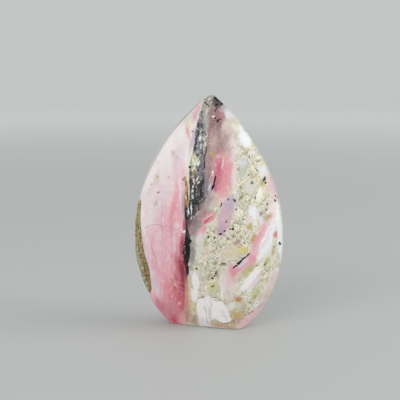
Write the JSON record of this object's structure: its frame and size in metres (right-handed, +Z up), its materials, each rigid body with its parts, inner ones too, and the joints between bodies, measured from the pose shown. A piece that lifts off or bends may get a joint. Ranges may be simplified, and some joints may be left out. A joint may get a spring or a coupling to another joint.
{
  "type": "polished pink opal freeform",
  "caption": "Flame-shaped freeform of polished pink opal with a patch of natural skin, standing upright on its flat cut base.",
  "frame": {"origin": "middle of the stone's box, at the level of the flat base it stands on", "axes": "+Z up from the base to the tip, +X to the right as the polished front is seen, -Y out of the polished front"},
  "size_m": [0.0706, 0.0324, 0.11],
  "materials": {
    "opal": "polished"
  },
  "bodies": {
    "root": {"pink_opal_stone": "opal"}
  },
  "joints": []
}
